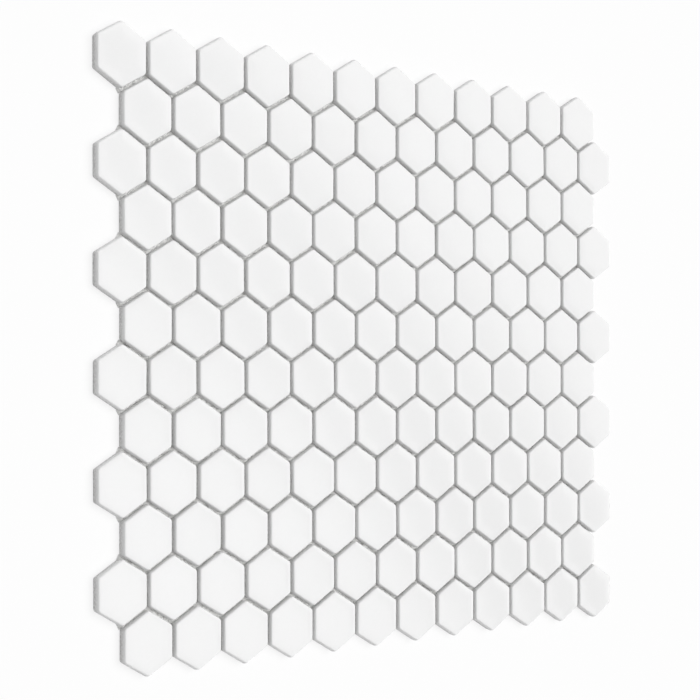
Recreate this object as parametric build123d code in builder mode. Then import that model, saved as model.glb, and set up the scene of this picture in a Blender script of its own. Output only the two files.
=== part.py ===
from build123d import *
from math import cos, radians
import os

# A sheet of pressed porcelain hexagons, face up, bonded to a glass-fibre net.
# Millimetres. +Z is up, +Y is the top of the sheet, and the origin is at the middle
# of the underside, on the floor that the net rests on.

os.makedirs("parts", exist_ok=True)

# One tile
tile_width = 23.8  # across two flats, where it is widest
tile_thickness = 5.0
widest_depth = 1.9  # how far under the face it is widest
back_draft = 0.5  # how far its walls draw in from there to the back
face_draft = 0.4  # how far they draw in from there to the soft pressed edge
cushion_width = 1.2  # how far that edge then reaches into the face
cushion_drop = 0.35  # how far the face has rolled down where it meets the wall

# How the tiles are set out
joint_width = 1.2  # the gap between two flats, left open for grout
tiles_per_row = 12
row_count = 12

# The net on the back: crosswise threads below, lengthwise threads laid over them
thread_pitch = 5.0
thread_width = 0.8
thread_thickness = 0.2
net_margin = 1.5  # how far inside the outer flats of the tiles the net is cut

# What follows from those sizes
tile_pitch = tile_width + joint_width
row_pitch = tile_pitch * cos(radians(30))
tile_height = tile_width / cos(radians(30))  # point to point, along Y
sheet_width = (tiles_per_row - 0.5) * tile_pitch + tile_width
sheet_depth = (row_count - 1) * row_pitch + tile_height
net_width = sheet_width - 2 * net_margin
net_depth = sheet_depth - 2 * net_margin / cos(radians(30))
lengthwise_base = thread_thickness
tile_base = lengthwise_base + thread_thickness
tile_top = tile_base + tile_thickness
widest_x = tile_width / 2
back_x = widest_x - back_draft
brow_x = widest_x - face_draft


def row_centres(row):
    """The tiles' centres in one row, counted from the top. Every second row is half a tile over."""
    half_step = tile_pitch / 4 if row % 2 else -tile_pitch / 4
    first_x = half_step - (tiles_per_row - 1) / 2 * tile_pitch
    y = ((row_count - 1) / 2 - row) * row_pitch
    return [(first_x + place * tile_pitch, y) for place in range(tiles_per_row)]


# A tile is widest where the two halves of its die part. Its walls draw in from there both
# ways, which lets it leave the die, and its face rolls down to them in a shallow arc. Three
# bars of that section, turned by 60 degrees, leave the hexagon where they cross, with the
# arcs mitred at its corners.
with BuildPart() as tile:
    for turn in (0, 60, 120):
        with BuildSketch(Plane.XZ.rotated((0, 0, turn))):
            with BuildLine():
                back = Line((0, tile_base), (back_x, tile_base))
                lower_wall = Line(back @ 1, (widest_x, tile_top - widest_depth))
                upper_wall = Line(lower_wall @ 1, (brow_x, tile_top - cushion_drop))
                face_edge = (brow_x - cushion_width, tile_top)
                cushion = TangentArc(face_edge, upper_wall @ 1, tangent=(1, 0))
                face = Line(cushion @ 0, (0, tile_top))
                mirror(about=Plane.YZ)
            make_face()
        extrude(amount=tile_width, both=True, mode=Mode.INTERSECT if turn else Mode.ADD)

# The tiles of a row are loose from each other: only the net holds them
for row in range(row_count):
    with BuildPart() as tile_row:
        with Locations(*row_centres(row)):
            add(tile.part)
    tile_row.part.label = f"tile_row_{row + 1:02d}"
    export_step(tile_row.part, f"parts/{tile_row.part.label}.step")

# The net is cut to the zigzag of the sheet, a little inside it, so that the next sheet
# can be laid into its notches. Hexagons as wide as the pitch meet and close the joints.
with BuildSketch() as net_outline:
    with Locations(*[centre for row in range(row_count) for centre in row_centres(row)]):
        RegularPolygon(radius=tile_pitch / 2, side_count=6, major_radius=False, rotation=30)
    offset(amount=-(joint_width / 2 + net_margin), kind=Kind.INTERSECTION)

with BuildPart() as crosswise_threads:
    with BuildSketch():
        with GridLocations(sheet_width, thread_pitch, 1, int(net_depth / thread_pitch)):
            Rectangle(sheet_width, thread_width)
        add(net_outline.sketch, mode=Mode.INTERSECT)
    extrude(amount=thread_thickness)
crosswise_threads.part.label = "mesh_crosswise_threads"
export_step(crosswise_threads.part, f"parts/{crosswise_threads.part.label}.step")

with BuildPart() as lengthwise_threads:
    with BuildSketch(Plane.XY.offset(lengthwise_base)):
        with GridLocations(thread_pitch, sheet_depth, int(net_width / thread_pitch), 1):
            Rectangle(thread_width, sheet_depth)
        add(net_outline.sketch, mode=Mode.INTERSECT)
    extrude(amount=thread_thickness)
lengthwise_threads.part.label = "mesh_lengthwise_threads"
export_step(lengthwise_threads.part, f"parts/{lengthwise_threads.part.label}.step")
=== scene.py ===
from math import ceil, cos, floor, pi, radians, sin, sqrt

import bmesh
import bpy
from mathutils import Matrix, Vector


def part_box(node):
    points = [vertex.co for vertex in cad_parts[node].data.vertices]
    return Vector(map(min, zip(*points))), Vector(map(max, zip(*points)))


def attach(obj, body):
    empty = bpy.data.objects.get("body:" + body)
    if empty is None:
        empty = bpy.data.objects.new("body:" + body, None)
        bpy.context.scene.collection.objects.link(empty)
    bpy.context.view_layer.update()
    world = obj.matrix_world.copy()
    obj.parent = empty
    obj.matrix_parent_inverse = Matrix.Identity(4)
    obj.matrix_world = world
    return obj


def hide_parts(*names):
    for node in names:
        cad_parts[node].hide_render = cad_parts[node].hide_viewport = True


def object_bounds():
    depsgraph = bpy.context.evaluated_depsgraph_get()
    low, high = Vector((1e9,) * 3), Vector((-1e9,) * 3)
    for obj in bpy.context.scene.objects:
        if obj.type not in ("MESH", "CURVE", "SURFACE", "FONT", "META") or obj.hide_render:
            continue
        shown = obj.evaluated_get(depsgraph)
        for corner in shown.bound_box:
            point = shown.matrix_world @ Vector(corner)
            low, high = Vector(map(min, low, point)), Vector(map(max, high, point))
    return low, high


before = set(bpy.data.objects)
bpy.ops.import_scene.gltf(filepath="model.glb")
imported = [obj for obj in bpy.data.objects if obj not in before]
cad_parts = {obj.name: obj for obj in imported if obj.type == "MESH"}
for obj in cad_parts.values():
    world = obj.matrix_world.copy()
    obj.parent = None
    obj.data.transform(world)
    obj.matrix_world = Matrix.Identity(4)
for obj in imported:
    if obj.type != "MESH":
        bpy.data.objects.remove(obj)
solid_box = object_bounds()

# A sheet of white porcelain hexagons on a glass-fibre net, lying face up on a white table.
# Metres. +Z is up, +Y is the top of the sheet, and the origin is under its middle.

# The crosswise yarns of the net. Each is a flat bundle of glass fibres dipped in white
# binder, and runs straight across between the two yarns of every lengthwise pair. The
# net is trimmed to the zigzag of the tiles, so a yarn can be in several lengths.
crosswise_node = "mesh_crosswise_threads"
lengthwise_node = "mesh_lengthwise_threads"
net_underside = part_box(crosswise_node)[0].z
net_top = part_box(lengthwise_node)[1].z
net_middle = (net_underside + net_top) / 2
crosswise_width = 0.0008
crosswise_thickness = 0.00015
yarn_wander = 0.00035  # how far a yarn strays sideways
yarn_wander_length = 0.03  # the length over which it strays and comes back
yarn_colour = (0.84, 0.84, 0.82, 1)
yarn_roughness = 0.5
fibres_round = 14.0  # the fibre lines that go round a yarn
turns_per_metre = 50.0  # how tightly they are twisted
fibre_changes = 160.0  # how often in a metre one line gives way to the next
fibre_lightest = 1.04  # times the yarn's own colour
fibre_contrast = 0.14
fibre_relief = 0.00006


def separate_boxes(node):
    """The lowest and highest corner of each loose part of a CAD node, from left to right."""
    merged = bmesh.new()
    merged.from_mesh(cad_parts[node].data)
    bmesh.ops.remove_doubles(merged, verts=merged.verts, dist=1e-6)
    unseen, boxes = set(merged.verts), []
    while unseen:
        reached = [unseen.pop()]
        for vert in reached:
            beside = {edge.other_vert(vert) for edge in vert.link_edges} & unseen
            reached += beside
            unseen -= beside
        by_axis = list(zip(*(vert.co for vert in reached)))
        boxes.append((Vector(map(min, by_axis)), Vector(map(max, by_axis))))
    merged.free()
    return sorted(boxes, key=lambda box: tuple(round(number, 6) for number in box[0]))


def middles(boxes, axis):
    """The middle of each box along one axis."""
    return [(low[axis] + high[axis]) / 2 for low, high in boxes]


def pitch_of(values):
    """The step between evenly spaced values, of which several may be the same."""
    distinct = sorted({round(value, 5) for value in values})
    return (distinct[-1] - distinct[0]) / (len(distinct) - 1)


crosswise_bars = separate_boxes(crosswise_node)
lengthwise_bars = separate_boxes(lengthwise_node)
crosswise_pitch = pitch_of(middles(crosswise_bars, 1))  # between one crosswise yarn and the next
lengthwise_pitch = pitch_of(middles(lengthwise_bars, 0))
first_crosswise_y = min(middles(crosswise_bars, 1))


def centre_lines(name, bars, axis, step, phase):
    """An object of loose edges down the middle of each bar, with a point at each whole step."""
    shortest = 0.2  # a first or last stretch under this share of a step is joined to its neighbour
    points, edges = [], []
    for low, high in bars:
        first, last = (low[axis] - phase) / step, (high[axis] - phase) / step
        marks = [first, *range(floor(first) + 1, ceil(last)), last]
        if len(marks) > 3 and marks[1] - marks[0] < shortest:
            del marks[1]
        if len(marks) > 3 and marks[-1] - marks[-2] < shortest:
            del marks[-2]
        edges += [(len(points) + n, len(points) + n + 1) for n in range(len(marks) - 1)]
        for mark in marks:
            point = (low + high) / 2
            point[axis] = phase + mark * step
            point.z = net_middle
            points.append(point)
    mesh = bpy.data.meshes.new(name)
    mesh.from_pydata(points, edges, [])
    line = bpy.data.objects.new(name, mesh)
    bpy.context.scene.collection.objects.link(line)
    return line


def put(tree, kind, feeds=None, **settings):
    """Adds a node. feeds names its inputs, each with a value or the socket that drives it."""
    made = tree.nodes.new(kind)
    for name, value in settings.items():
        setattr(made, name, value)
    for name, value in (feeds or {}).items():
        if isinstance(value, bpy.types.NodeSocket):
            tree.links.new(value, made.inputs[name])
        else:
            made.inputs[name].default_value = value
    return made


def calculate(tree, operation, *numbers):
    """The result of one sum on numbers."""
    return put(tree, "ShaderNodeMath", dict(enumerate(numbers)), operation=operation).outputs[0]


def calculate_vector(tree, operation, *vectors):
    """The result of one sum on vectors, axis by axis."""
    return put(tree, "ShaderNodeVectorMath", dict(enumerate(vectors)), operation=operation).outputs[0]


def scaled(tree, vector, factor):
    """A vector or a colour times a number."""
    return put(tree, "ShaderNodeVectorMath", {0: vector, "Scale": factor}, operation="SCALE").outputs[0]


def vector_of(tree, **axes):
    """A vector with the given X, Y and Z, each 0 where it isn't given."""
    return put(tree, "ShaderNodeCombineXYZ", axes).outputs[0]


def ramp(tree, value, start, end, first=0.0, last=1.0, **settings):
    """first up to start, last from end on, and in between where the value is between them."""
    return put(tree, "ShaderNodeMapRange", {
        "Value": value, "From Min": start, "From Max": end, "To Min": first, "To Max": last,
    }, **settings).outputs[0]


def geometry_tree(name, **sizes):
    """A Geometry Nodes tree with geometry in and out and one input for each named size."""
    tree = bpy.data.node_groups.new(name, "GeometryNodeTree")
    tree.interface.new_socket("Geometry", in_out="INPUT", socket_type="NodeSocketGeometry")
    tree.interface.new_socket("Geometry", in_out="OUTPUT", socket_type="NodeSocketGeometry")
    for size, kind in sizes.items():
        tree.interface.new_socket(size.replace("_", " "), in_out="INPUT", socket_type="NodeSocket" + kind)
    return tree, tree.nodes.new("NodeGroupInput").outputs


def store(tree, geometry, name, value, domain="POINT"):
    """The geometry with a number stored on it under that name."""
    return put(tree, "GeometryNodeStoreNamedAttribute", {
        "Geometry": geometry, "Name": name, "Value": value,
    }, data_type="FLOAT", domain=domain).outputs[0]


def end_tree(tree, geometry, material):
    """Ends a tree as real mesh in its material."""
    real = put(tree, "GeometryNodeRealizeInstances", {"Geometry": geometry}).outputs[0]
    dressed = put(tree, "GeometryNodeSetMaterial", {"Geometry": real, "Material": material}).outputs[0]
    put(tree, "NodeGroupOutput", {"Geometry": dressed})


def grow(piece, tree, **sizes):
    """Gives the tree its sizes, and leaves what it makes of the piece as the piece's plain mesh."""
    grower = piece.modifiers.new(tree.name, "NODES")
    grower.node_group = tree
    for socket in tree.interface.items_tree:
        if socket.in_out == "INPUT" and socket.name.replace(" ", "_") in sizes:
            grower[socket.identifier] = sizes[socket.name.replace(" ", "_")]
    evaluated = piece.evaluated_get(bpy.context.evaluated_depsgraph_get())
    grown = bpy.data.meshes.new_from_object(evaluated)
    piece.modifiers.remove(grower)
    grown.name = piece.name
    piece.data = grown


# One tree makes all the yarns of the net. A yarn follows its centre line. It wanders a
# little sideways, and a yarn of a pair swings from side to side and up and down as well.
yarn_tree, given = geometry_tree(
    "Yarn", Width="Float", Thickness="Float", Sides="Int", Pitch="Float", First_Crossing="Float",
    Swing="Float", Lift="Float", Wander="Float", Wander_Length="Float", Seed="Int", Material="Material",
)
yarn_line = put(yarn_tree, "GeometryNodeMeshToCurve", {"Mesh": given["Geometry"]}).outputs[0]
yarn_place = put(yarn_tree, "GeometryNodeInputPosition").outputs[0]
yarn_y = put(yarn_tree, "ShaderNodeSeparateXYZ", {"Vector": yarn_place}).outputs["Y"]
past_first = calculate(yarn_tree, "SUBTRACT", yarn_y, given["First Crossing"])
crossings = calculate(yarn_tree, "DIVIDE", past_first, given["Pitch"])
half_turn = calculate(yarn_tree, "MULTIPLY", crossings, pi)
swing = calculate(yarn_tree, "MULTIPLY", calculate(yarn_tree, "COSINE", half_turn), given["Swing"])
whole_turn = calculate(yarn_tree, "MULTIPLY", crossings, 2 * pi)
lift = calculate(yarn_tree, "MULTIPLY", calculate(yarn_tree, "COSINE", whole_turn), given["Lift"])
twist = vector_of(yarn_tree, X=swing, Z=lift)
wander_noise = put(yarn_tree, "ShaderNodeTexNoise", {
    "Vector": yarn_place, "W": given["Seed"], "Detail": 1.0,
    "Scale": calculate(yarn_tree, "DIVIDE", 1.0, given["Wander Length"]),
}, noise_dimensions="4D").outputs["Color"]
either_way = calculate_vector(yarn_tree, "SUBTRACT", wander_noise, (0.5, 0.5, 0.5))
most_wander = vector_of(yarn_tree, X=given["Wander"], Y=given["Wander"])
wander = calculate_vector(yarn_tree, "MULTIPLY", either_way, most_wander)
moved_line = put(yarn_tree, "GeometryNodeSetPosition", {
    "Geometry": yarn_line, "Offset": calculate_vector(yarn_tree, "ADD", twist, wander),
}).outputs[0]
level_line = put(yarn_tree, "GeometryNodeSetCurveNormal", {"Curve": moved_line}, mode="Z_UP").outputs[0]
length_so_far = put(yarn_tree, "GeometryNodeSplineParameter").outputs["Length"]
marked_line = store(yarn_tree, level_line, "along_yarn", length_so_far)
circle = put(yarn_tree, "GeometryNodeCurvePrimitiveCircle", {
    "Resolution": given["Sides"], "Radius": 0.5,
}, mode="RADIUS").outputs[0]
share_of_turn = put(yarn_tree, "GeometryNodeSplineParameter").outputs["Factor"]
marked_circle = store(yarn_tree, circle, "round_yarn", share_of_turn)
section = put(yarn_tree, "GeometryNodeTransform", {
    "Geometry": marked_circle,
    "Scale": vector_of(yarn_tree, X=given["Width"], Y=given["Thickness"], Z=1.0),
}).outputs[0]
yarn = put(yarn_tree, "GeometryNodeCurveToMesh", {
    "Curve": marked_line, "Profile Curve": section, "Fill Caps": True,
}).outputs[0]
end_tree(yarn_tree, yarn, given["Material"])


def shader_group(name, gives, **takes):
    """A shader node group with one input for each name in takes and one output for each in gives."""
    group = bpy.data.node_groups.new(name, "ShaderNodeTree")
    for sockets, side in ((takes, "INPUT"), (gives, "OUTPUT")):
        for socket, kind in sockets.items():
            socket_name = socket.replace("_", " ")
            group.interface.new_socket(socket_name, in_out=side, socket_type="NodeSocket" + kind)
    return group, group.nodes.new("NodeGroupInput").outputs


# Mottle is the uneven tone of a fired or dried surface: broad clouds with fine grain over
# them. It gives a colour made darker in places, the grain as a height, and the clouds.
faint_grain, strong_grain = 0.3, 0.7  # the noise that counts as no grain, and as full grain
mottle, given = shader_group(
    "Mottle", {"Color": "Color", "Height": "Float", "Clouds": "Float"}, Vector="Vector", Color="Color",
    Cloud_Size="Float", Cloud_Depth="Float", Grain_Size="Float", Grain_Depth="Float",
)
clouds = put(mottle, "ShaderNodeTexNoise", {
    "Vector": given["Vector"], "Scale": calculate(mottle, "DIVIDE", 1.0, given["Cloud Size"]),
    "Detail": 2.0,
}).outputs["Fac"]
grain_noise = put(mottle, "ShaderNodeTexNoise", {
    "Vector": given["Vector"], "Scale": calculate(mottle, "DIVIDE", 1.0, given["Grain Size"]),
    "Detail": 3.0, "Roughness": 0.6,
}).outputs["Fac"]
grain = ramp(mottle, grain_noise, faint_grain, strong_grain)
cloud_loss = calculate(mottle, "MULTIPLY", clouds, given["Cloud Depth"])
grain_loss = calculate(mottle, "MULTIPLY", grain, given["Grain Depth"])
kept = calculate(mottle, "SUBTRACT", 1.0, calculate(mottle, "ADD", cloud_loss, grain_loss))
darkened = scaled(mottle, given["Color"], kept)
put(mottle, "NodeGroupOutput", {"Color": darkened, "Height": grain, "Clouds": clouds})


def new_material(name):
    """A plain material: itself, its tree, its shader, and the object coordinates for its patterns."""
    material = bpy.data.materials.new(name)
    material.use_nodes = True
    tree = material.node_tree
    coordinates = tree.nodes.new("ShaderNodeTexCoord").outputs["Object"]
    return material, tree, tree.nodes["Principled BSDF"], coordinates


def stored(tree, name):
    """The number stored under that name, as a material or a Geometry Nodes tree reads it back."""
    if tree.bl_idname == "ShaderNodeTree":
        return put(tree, "ShaderNodeAttribute", attribute_name=name).outputs["Fac"]
    reader = put(tree, "GeometryNodeInputNamedAttribute", {"Name": name}, data_type="FLOAT")
    return reader.outputs["Attribute"]


def use_group(tree, group, **feeds):
    """The outputs of a node group placed in a material with its own values."""
    inputs = {name.replace("_", " "): value for name, value in feeds.items()}
    return put(tree, "ShaderNodeGroup", inputs, node_tree=group).outputs


def bump(tree, height, distance):
    """The normal of a surface with that relief."""
    return put(tree, "ShaderNodeBump", {"Height": height, "Distance": distance}).outputs[0]


# The yarn's material is its fibres: fine lines along it, with the binder filling them in.
glass_yarn, tree, shader, coordinates = new_material("Coated glass yarn")
along = stored(tree, "along_yarn")
lines_round = calculate(tree, "MULTIPLY", stored(tree, "round_yarn"), fibres_round)
lines_passed = calculate(tree, "MULTIPLY", along, fibres_round * turns_per_metre)
fibre_place = vector_of(
    tree, X=calculate(tree, "ADD", lines_round, lines_passed),
    Y=calculate(tree, "MULTIPLY", along, fibre_changes),
)
fibres = put(tree, "ShaderNodeTexNoise", {
    "Vector": fibre_place, "Scale": 1.0, "Detail": 2.0,
}).outputs["Fac"]
binder = use_group(
    tree, mottle, Vector=coordinates, Color=yarn_colour, Cloud_Size=0.008, Cloud_Depth=0.06,
    Grain_Size=0.0004, Grain_Depth=0.08,
)
fibre_loss = calculate(tree, "MULTIPLY", fibres, fibre_contrast)
fibre_shade = calculate(tree, "SUBTRACT", fibre_lightest, fibre_loss)
tree.links.new(scaled(tree, binder["Color"], fibre_shade), shader.inputs["Base Color"])
tree.links.new(bump(tree, fibres, fibre_relief), shader.inputs["Normal"])
shader.inputs["Roughness"].default_value = yarn_roughness

crosswise_yarns = centre_lines("mesh_crosswise_yarns", crosswise_bars, 0, lengthwise_pitch / 2, 0)
grow(
    crosswise_yarns, yarn_tree, Width=crosswise_width, Thickness=crosswise_thickness, Sides=6,
    Pitch=crosswise_pitch, First_Crossing=first_crosswise_y, Swing=0.0, Lift=0.0,
    Wander=yarn_wander, Wander_Length=yarn_wander_length, Seed=3, Material=glass_yarn,
)
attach(crosswise_yarns, "root")
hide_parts(crosswise_node)

# The lengthwise yarns run in pairs. One of a pair passes over each crosswise yarn and the
# other under it, and between two crossings they change sides, so that they lock it in place.
pair_yarn_width = 0.0004
pair_yarn_thickness = 0.0001
pair_swing = 0.00018
pair_lift = (net_top - net_underside - pair_yarn_thickness) / 2
for name, side in (("mesh_lengthwise_yarns_over", 1), ("mesh_lengthwise_yarns_under", -1)):
    lengthwise_yarns = centre_lines(name, lengthwise_bars, 1, crosswise_pitch / 4, first_crosswise_y)
    grow(
        lengthwise_yarns, yarn_tree, Width=pair_yarn_width, Thickness=pair_yarn_thickness, Sides=5,
        Pitch=crosswise_pitch, First_Crossing=first_crosswise_y, Swing=side * pair_swing,
        Lift=side * pair_lift, Wander=yarn_wander, Wander_Length=yarn_wander_length, Seed=5,
        Material=glass_yarn,
    )
    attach(lengthwise_yarns, "root")
    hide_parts(lengthwise_node)

# The tiles. Each is porcelain clay pressed dry in a steel die and fired, with a satin white
# glaze on its face. Its edge rolls over softly, its upright corners are round, and its
# walls and back are left rough. The tiles stand a joint apart, held by the net alone.
row_names = sorted(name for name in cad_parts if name.startswith("tile_row_"))
row_boxes = {name: separate_boxes(name) for name in row_names}
tile_low, tile_high = row_boxes[row_names[0]][0]
half_width = (tile_high.x - tile_low.x) / 2
tile_base = tile_low.z
slack = 0.00008  # room for a tile to tilt without leaving the sheet's own thickness
tile_top = tile_high.z - slack
corner_radius = 0.0018
least_corner_radius = 0.0006  # what is left of it where the face is inset
corner_steps = 4
back_bevel = 0.00025
back_draft = 0.0005  # how far the walls draw in from their widest line to the back
shoulder_width = 0.0008  # the rounding from the widest line up to the face
shoulder_drop = 0.002
shoulder_steps = 6
crown_width = 0.0045  # the slight fall of the face towards its shoulders
crown_drop = 0.00028
crown_steps = 3

glaze_colour = (0.88, 0.88, 0.88, 1)
glaze_roughness = 0.14
roughness_range = 0.06  # how much that differs from cloud to cloud
glaze_ior = 1.6  # a little more than plain glass
glaze_relief = 0.000006
widest_glaze = 0.2  # how thick the glaze is at the widest line, where the face has 1
glaze_gain = 0.25  # how much thicker it is with each step up the shoulder
body_colour = (0.85, 0.85, 0.845, 1)
body_roughness = 0.85
body_relief = 0.00006
darkest_firing = 0.988


def tile_section():
    """The tile's outline from its back to the top of its crown: inset, height and glaze."""
    widest = tile_top - crown_drop - shoulder_drop
    outline = [
        (back_draft + back_bevel, tile_base, 0),
        (back_draft, tile_base + back_bevel, 0),
        (0, widest, widest_glaze),
    ]
    for step in range(1, shoulder_steps + 1):
        turn = radians(90 * step / shoulder_steps)
        glaze = min(1, glaze_gain * (step + 1))
        outline.append((shoulder_width * (1 - cos(turn)), widest + shoulder_drop * sin(turn), glaze))
    for step in range(1, crown_steps + 1):
        share = step / crown_steps
        inset = shoulder_width + crown_width * share
        outline.append((inset, tile_top - crown_drop * (1 - share) ** 2, 1))
    return outline


def hexagon_ring(mesh, inset, height):
    """A ring of points round the tile at that inset from its flats, with round corners."""
    radius = max(corner_radius - inset, least_corner_radius)
    reach = (half_width - inset - radius) / cos(radians(30))
    ring = []
    for corner in range(6):
        direction = radians(30 + 60 * corner)
        for step in range(corner_steps + 1):
            angle = direction + radians(60) * (step / corner_steps - 0.5)
            x = reach * cos(direction) + radius * cos(angle)
            y = reach * sin(direction) + radius * sin(angle)
            ring.append(mesh.verts.new((x, y, height)))
    return ring


tile_mesh = bmesh.new()
glaze_layer = tile_mesh.verts.layers.float.new("glaze")
rings = []
for inset, height, glaze in tile_section():
    rings.append(hexagon_ring(tile_mesh, inset, height))
    for vert in rings[-1]:
        vert[glaze_layer] = glaze
for lower, upper in zip(rings, rings[1:]):
    for number in range(len(lower)):
        following = (number + 1) % len(lower)
        tile_mesh.faces.new((lower[number], lower[following], upper[following], upper[number]))
for ring, height, glaze in ((rings[0], tile_base, 0), (rings[-1], tile_top, 1)):
    middle = tile_mesh.verts.new((0, 0, height))
    middle[glaze_layer] = glaze
    for number in range(len(ring)):
        pair = ring[number], ring[(number + 1) % len(ring)]
        tile_mesh.faces.new((*(pair if glaze else reversed(pair)), middle))
for face in tile_mesh.faces:
    face.smooth = True
for sharp_ring in rings[:2]:  # both edges of the bevel round the back
    for number in range(len(sharp_ring)):
        pair = sharp_ring[number], sharp_ring[(number + 1) % len(sharp_ring)]
        tile_mesh.edges.get(pair).smooth = False

# One tree lays a row. No two tiles sit quite alike: each is a hair out of place, turned
# and tilted, and fired a little lighter or darker than the next.
shift_seed, lean_seed, firing_seed = 0.0, 100.0, 200.0  # added to the row's own seed
row_tree, given = geometry_tree(
    "Row of tiles", Count="Int", Pitch="Float", First_Centre="Vector", Low_Stop="Vector",
    High_Stop="Vector", Shift="Float", Turn="Float", Tilt="Float", Seed="Int", Material="Material",
)
even_places = put(row_tree, "GeometryNodeMeshLine", {
    "Count": given["Count"], "Start Location": given["First Centre"],
    "Offset": vector_of(row_tree, X=given["Pitch"]),
}, mode="OFFSET").outputs[0]


def spread(seed_step, **amounts):
    """A random vector for each tile, up to the given amounts either way."""
    most = vector_of(row_tree, **amounts)
    return put(row_tree, "FunctionNodeRandomValue", {
        "Min": scaled(row_tree, most, -1.0), "Max": most,
        "Seed": calculate(row_tree, "ADD", given["Seed"], seed_step),
    }, data_type="FLOAT_VECTOR").outputs[0]


even_place = put(row_tree, "GeometryNodeInputPosition").outputs[0]
shift = spread(shift_seed, X=given["Shift"], Y=given["Shift"])
shifted = calculate_vector(row_tree, "ADD", even_place, shift)
stopped_low = calculate_vector(row_tree, "MAXIMUM", shifted, given["Low Stop"])
stopped = calculate_vector(row_tree, "MINIMUM", stopped_low, given["High Stop"])
jostled = put(row_tree, "GeometryNodeSetPosition", {
    "Geometry": even_places, "Position": stopped,
}).outputs[0]
lean = put(row_tree, "FunctionNodeEulerToRotation", {
    0: spread(lean_seed, X=given["Tilt"], Y=given["Tilt"], Z=given["Turn"]),
}).outputs[0]
laid = put(row_tree, "GeometryNodeInstanceOnPoints", {
    "Points": jostled, "Instance": given["Geometry"], "Rotation": lean,
}).outputs[0]
firing = put(row_tree, "FunctionNodeRandomValue", {
    2: 0.0, 3: 1.0, "Seed": calculate(row_tree, "ADD", given["Seed"], firing_seed),
}, data_type="FLOAT").outputs[1]
end_tree(row_tree, store(row_tree, laid, "firing", firing, domain="INSTANCE"), given["Material"])


def mixed(tree, share, none, full):
    """The number that lies that share of the way from none to full."""
    return put(tree, "ShaderNodeMix", {"Factor": share, 2: none, 3: full}, data_type="FLOAT").outputs[0]


# A tile's material is satin glaze on its face and shoulders. Elsewhere it is bare fired
# clay, which is matt, and grainy from the pressed powder.
porcelain, tree, shader, coordinates = new_material("White porcelain")
glazed = stored(tree, "glaze")
glaze_look = use_group(
    tree, mottle, Vector=coordinates, Color=glaze_colour, Cloud_Size=0.012, Cloud_Depth=0.02,
    Grain_Size=0.0012, Grain_Depth=0.01,
)
body_look = use_group(
    tree, mottle, Vector=coordinates, Color=body_colour, Cloud_Size=0.003, Cloud_Depth=0.06,
    Grain_Size=0.001, Grain_Depth=0.4,
)
surface = put(tree, "ShaderNodeMix", {
    "Factor": glazed, 6: body_look["Color"], 7: glaze_look["Color"],
}, data_type="RGBA").outputs[2]
tone = ramp(tree, stored(tree, "firing"), 0.0, 1.0, darkest_firing, 1.0)
tree.links.new(scaled(tree, surface, tone), shader.inputs["Base Color"])
cloud_roughness = calculate(tree, "MULTIPLY", glaze_look["Clouds"], roughness_range)
satin = calculate(tree, "ADD", glaze_roughness - roughness_range / 2, cloud_roughness)
tree.links.new(mixed(tree, glazed, body_roughness, satin), shader.inputs["Roughness"])
body_height = calculate(tree, "MULTIPLY", body_look["Height"], body_relief)
glaze_height = calculate(tree, "MULTIPLY", glaze_look["Height"], glaze_relief)
relief = mixed(tree, glazed, body_height, glaze_height)
tree.links.new(bump(tree, relief, 1.0), shader.inputs["Normal"])
shader.inputs["IOR"].default_value = glaze_ior

most_shift = 0.0001  # how far out of its place a tile lies
most_turn = radians(0.25)
most_tilt = radians(0.4)
# No tile leaves the sheet's own box: its centre stays this far inside the box's sides
stop_inset = Vector((half_width + slack, half_width / cos(radians(30)), 0))
low_stop = solid_box[0] + stop_inset
high_stop = solid_box[1] - stop_inset
low_stop.z, high_stop.z = 0, 0  # a tile's height is in its own mesh
for number, name in enumerate(row_names, 1):
    mesh = bpy.data.meshes.new("hexagon_tile")
    tile_mesh.to_mesh(mesh)
    tiles = bpy.data.objects.new(name.replace("tile_row", "hexagon_tiles_row"), mesh)
    bpy.context.scene.collection.objects.link(tiles)
    centres = middles(row_boxes[name], 0)
    grow(
        tiles, row_tree, Count=len(centres), Pitch=pitch_of(centres),
        First_Centre=(min(centres), middles(row_boxes[name], 1)[0], 0),
        Low_Stop=low_stop, High_Stop=high_stop,
        Shift=most_shift, Turn=most_turn, Tilt=most_tilt, Seed=number, Material=porcelain,
    )
    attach(tiles, "root")
    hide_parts(name)
tile_mesh.free()

# The white adhesive that bonds the net to the tiles. Where it was pressed into the joints it
# has crept up between the walls and dried as an uneven film. One strip of it lies in each
# joint. It sags a little between the walls, and falls away towards the tiles' corners.
film_thickness = 0.0001  # what lies in the net at the least
adhesive_rise = 0.0021  # how far it crept up at the most
middle_share = 0.85  # of that rise, half-way between the two walls
corner_share = 0.1  # of that rise, at the ends of a joint
fade_start, fade_end = 0.38, 0.5  # where it falls away, in joint lengths from the middle of one
adhesive_patch = 0.002  # how long and wide its smears are
bare_patch, full_patch = 0.3, 0.6  # the noise that leaves no rise, and all of it
strip_end_gap = 0.0002  # how much shorter a strip is than the side of a tile
strip_bite = 0.0003  # how much wider it is than the joint at the tiles' backs
strip_columns, strip_rows = 13, 3  # points along a strip and across it
adhesive_colour = (0.98, 0.98, 0.965, 1)
adhesive_roughness = 0.55
adhesive_relief = 0.0002

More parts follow.
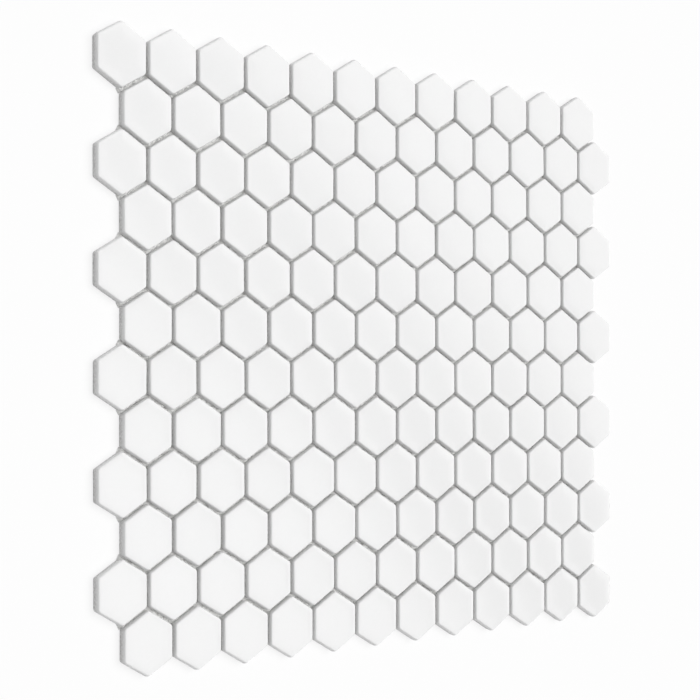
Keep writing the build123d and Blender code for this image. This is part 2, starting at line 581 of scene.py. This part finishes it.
adhesive_tree, given = geometry_tree(
    "Joint adhesive", Length="Float", Width="Float", Film="Float", Rise="Float", Patch="Float",
    Seed="Int", Material="Material",
)
strip = put(adhesive_tree, "GeometryNodeMeshCube", {
    "Size": vector_of(adhesive_tree, X=given["Length"], Y=given["Width"], Z=given["Film"]),
    "Vertices X": strip_columns, "Vertices Y": strip_rows, "Vertices Z": 2,
}).outputs["Mesh"]
strip_place = put(adhesive_tree, "GeometryNodeInputPosition").outputs[0]
strip_axes = put(adhesive_tree, "ShaderNodeSeparateXYZ", {"Vector": strip_place}).outputs
doubled_y = calculate(adhesive_tree, "MULTIPLY", strip_axes["Y"], 2.0)
across = calculate(adhesive_tree, "DIVIDE", doubled_y, given["Width"])
across_squared = calculate(adhesive_tree, "MULTIPLY", across, across)
hollow = ramp(adhesive_tree, across_squared, 0.0, 1.0, middle_share, 1.0)
off_middle = calculate(adhesive_tree, "ABSOLUTE", strip_axes["X"])
share_along = calculate(adhesive_tree, "DIVIDE", off_middle, given["Length"])
fading = ramp(adhesive_tree, share_along, fade_start, fade_end, 1.0, corner_share)
on_top = calculate(adhesive_tree, "GREATER_THAN", strip_axes["Z"], 0.0)
top_share = calculate(adhesive_tree, "MULTIPLY", fading, on_top)
full_rise = calculate(adhesive_tree, "MULTIPLY", top_share, given["Rise"])
most_rise = calculate(adhesive_tree, "MULTIPLY", hollow, full_rise)
marked_strip = store(adhesive_tree, strip, "most_rise", most_rise)
along_joint = put(adhesive_tree, "FunctionNodeEulerToRotation", {
    0: vector_of(adhesive_tree, Z=stored(adhesive_tree, "joint_turn")),
}).outputs[0]
laid_strips = put(adhesive_tree, "GeometryNodeInstanceOnPoints", {
    "Points": given["Geometry"], "Instance": marked_strip, "Rotation": along_joint,
}).outputs[0]
real_strips = put(adhesive_tree, "GeometryNodeRealizeInstances", {"Geometry": laid_strips}).outputs[0]
sheet_place = put(adhesive_tree, "GeometryNodeInputPosition").outputs[0]
patches = put(adhesive_tree, "ShaderNodeTexNoise", {
    "Vector": sheet_place, "W": given["Seed"], "Detail": 2.0,
    "Scale": calculate(adhesive_tree, "DIVIDE", 1.0, given["Patch"]),
}, noise_dimensions="4D").outputs["Fac"]
patch_share = ramp(adhesive_tree, patches, bare_patch, full_patch)
own_rise = calculate(adhesive_tree, "MULTIPLY", stored(adhesive_tree, "most_rise"), patch_share)
crept = put(adhesive_tree, "GeometryNodeSetPosition", {
    "Geometry": real_strips, "Offset": vector_of(adhesive_tree, Z=own_rise),
}).outputs[0]
end_tree(adhesive_tree, crept, given["Material"])

glue, tree, shader, coordinates = new_material("Dried white adhesive")
skin = use_group(
    tree, mottle, Vector=coordinates, Color=adhesive_colour, Cloud_Size=0.003, Cloud_Depth=0.1,
    Grain_Size=0.001, Grain_Depth=0.15,
)
tree.links.new(skin["Color"], shader.inputs["Base Color"])
tree.links.new(bump(tree, skin["Height"], adhesive_relief), shader.inputs["Normal"])
shader.inputs["Roughness"].default_value = adhesive_roughness

tile_centres = [(low + high) / 2 for boxes in row_boxes.values() for low, high in boxes]
tile_pitch = pitch_of(middles(row_boxes[row_names[0]], 0))
neighbour_reach = 1.1 * tile_pitch  # two tiles whose centres are nearer than this share a joint
joint_middles, joint_turns = [], []
for number, centre in enumerate(tile_centres):
    for other in tile_centres[number + 1:]:
        between = (other - centre).xy
        if between.length < neighbour_reach:
            middle = (centre + other) / 2
            joint_middles.append((middle.x, middle.y, net_middle))
            joint_turns.append(Vector((-between.y, between.x)).angle_signed(Vector((1, 0))))
joint_mesh = bpy.data.meshes.new("joint_adhesive")
joint_mesh.from_pydata(joint_middles, [], [])
joint_mesh.attributes.new("joint_turn", "FLOAT", "POINT").data.foreach_set("value", joint_turns)
adhesive = bpy.data.objects.new("joint_adhesive", joint_mesh)
bpy.context.scene.collection.objects.link(adhesive)
grow(
    adhesive, adhesive_tree, Length=2 * half_width / sqrt(3) - strip_end_gap,
    Width=tile_pitch - 2 * (half_width - back_draft) + strip_bite,
    Film=film_thickness, Rise=adhesive_rise, Patch=adhesive_patch, Seed=11, Material=glue,
)
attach(adhesive, "root")

# The floor is a wide white table top, painted matt, so that the sheet's own shadow shows on
# it. It is only the stage, and the sheet lies loose on it.
floor_size = 8.0
floor_colour = (0.97, 0.97, 0.97, 1)
floor_roughness = 0.9
floor_mesh = bmesh.new()
bmesh.ops.create_grid(floor_mesh, x_segments=1, y_segments=1, size=floor_size / 2)
table_top = bpy.data.objects.new("table_top", bpy.data.meshes.new("table_top"))
floor_mesh.to_mesh(table_top.data)
floor_mesh.free()
bpy.context.scene.collection.objects.link(table_top)
paint, tree, shader, coordinates = new_material("White table top")
table_paint = use_group(
    tree, mottle, Vector=coordinates, Color=floor_colour, Cloud_Size=0.3, Cloud_Depth=0.01,
    Grain_Size=0.002, Grain_Depth=0.005,
)
tree.links.new(table_paint["Color"], shader.inputs["Base Color"])
shader.inputs["Roughness"].default_value = floor_roughness
shader.inputs["Specular IOR Level"].default_value = 0.0


def seen_directly(tree):
    """1 for what the camera sees, straight or in a mirror or through glass, and 0 for other light."""
    path = put(tree, "ShaderNodeLightPath").outputs
    mirrored = calculate(tree, "MAXIMUM", path["Is Glossy Ray"], path["Is Transmission Ray"])
    return calculate(tree, "MAXIMUM", path["Is Camera Ray"], mirrored)


# Beyond the sheet the table is shown whiter than its paint, with its shadows kept but paler
whitening = 0.85
backdrop_white = (0.98, 0.98, 0.98, 1)
covered_half = Vector((0.135, 0.12, 0))  # half of the middle part, which the sheet hides
soft_edge = 0.006
off_centre = calculate_vector(tree, "ABSOLUTE", coordinates)
beyond = calculate_vector(tree, "SUBTRACT", off_centre, covered_half)
beyond_axes = put(tree, "ShaderNodeSeparateXYZ", {"Vector": beyond}).outputs
farthest = calculate(tree, "MAXIMUM", beyond_axes["X"], beyond_axes["Y"])
open_table = ramp(tree, farthest, 0.0, soft_edge, 0.0, whitening)
white = put(tree, "ShaderNodeEmission", {"Color": backdrop_white, "Strength": 1.0}).outputs[0]
whitened = put(tree, "ShaderNodeMixShader", {
    0: calculate(tree, "MULTIPLY", open_table, seen_directly(tree)), 1: shader.outputs[0], 2: white,
}).outputs[0]
tree.links.new(whitened, tree.nodes["Material Output"].inputs["Surface"])
table_top.data.materials.append(paint)

# The room is white to the eye, and fills the shadows with a low light. The satin faces mirror
# it as two white panels with a dim gap between them, which crosses the sheet as a soft band.
fill_light = 0.145
gap_level = 0.05  # the brightness that the gap is mirrored with, where the panels have 1
gap_middle = 0.56  # how far over from straight up the gap is, as a slope
gap_half_width = 0.085
gap_softness = 0.03
gap_across = Vector((0.62, 0.78, 0))  # the level direction that crosses it
horizon = 0.01  # the least height that a slope is measured with
world = bpy.data.worlds.new("Studio")
bpy.context.scene.world = world
world.use_nodes = True
tree = world.node_tree
outward = put(tree, "ShaderNodeTexCoord").outputs["Generated"]
upward = put(tree, "ShaderNodeSeparateXYZ", {"Vector": outward}).outputs["Z"]
across_gap = put(tree, "ShaderNodeVectorMath", {
    0: outward, 1: gap_across,
}, operation="DOT_PRODUCT").outputs["Value"]
slope = calculate(tree, "DIVIDE", across_gap, calculate(tree, "MAXIMUM", upward, horizon))
off_gap = calculate(tree, "ABSOLUTE", calculate(tree, "SUBTRACT", slope, gap_middle))
panels = ramp(
    tree, off_gap, gap_half_width - gap_softness, gap_half_width + gap_softness, gap_level, 1.0,
    interpolation_type="SMOOTHSTEP",
)
mirrored = put(tree, "ShaderNodeLightPath").outputs["Is Glossy Ray"]
shown = mixed(tree, mirrored, 1.0, panels)
strength = mixed(tree, seen_directly(tree), fill_light, shown)
background = tree.nodes["Background"]
background.inputs["Color"].default_value = (1, 1, 1, 1)
tree.links.new(strength, background.inputs["Strength"])

# One large soft light stands far off above the sheet, a little over to the right of it. The
# glaze doesn't mirror it, so that what shows in the faces is the room alone.
key_direction = Vector((0.25, 0.12, 1.0)).normalized()
key_level = 0.9  # the share of full white that it gives a level surface
key = bpy.data.lights.new("key_light", "SUN")
key.angle = radians(60)
key.energy = key_level * pi / key_direction.z
key_lamp = bpy.data.objects.new("key_light", key)
facing_sheet = key_direction.to_track_quat("Z", "Y").to_matrix().to_4x4()
key_lamp.matrix_world = Matrix.Translation(key_direction) @ facing_sheet
key_lamp.visible_glossy = False
bpy.context.scene.collection.objects.link(key_lamp)

# The camera looks down on the sheet from the left, so that the sheet's rows draw together
# towards the right. Its picture is shifted a little, which keeps the far columns upright.
picture_size = 700
focal_length = 1700.8  # in pixels of that picture
level_line_y = 391.1  # the pixel row that the camera looks along
camera_place = Vector((-0.5234, -0.01602, 0.57929))
camera_aim = Vector((-0.02316, -0.01654, 0.0054))
camera_up = Vector((0.00204, 1, 0))
camera = bpy.data.cameras.new("camera")
camera.sensor_fit = "HORIZONTAL"
camera.sensor_width = 36
camera.lens = focal_length * camera.sensor_width / picture_size
camera.shift_y = (level_line_y - picture_size / 2) / picture_size
camera.clip_start, camera.clip_end = 0.01, 20
backward = (camera_place - camera_aim).normalized()
rightward = camera_up.cross(backward).normalized()
camera_turn = Matrix((rightward, backward.cross(rightward), backward)).transposed().to_4x4()
viewer = bpy.data.objects.new("camera", camera)
viewer.matrix_world = Matrix.Translation(camera_place) @ camera_turn
bpy.context.scene.collection.objects.link(viewer)
bpy.context.scene.camera = viewer
bpy.context.scene.view_settings.view_transform = "Standard"
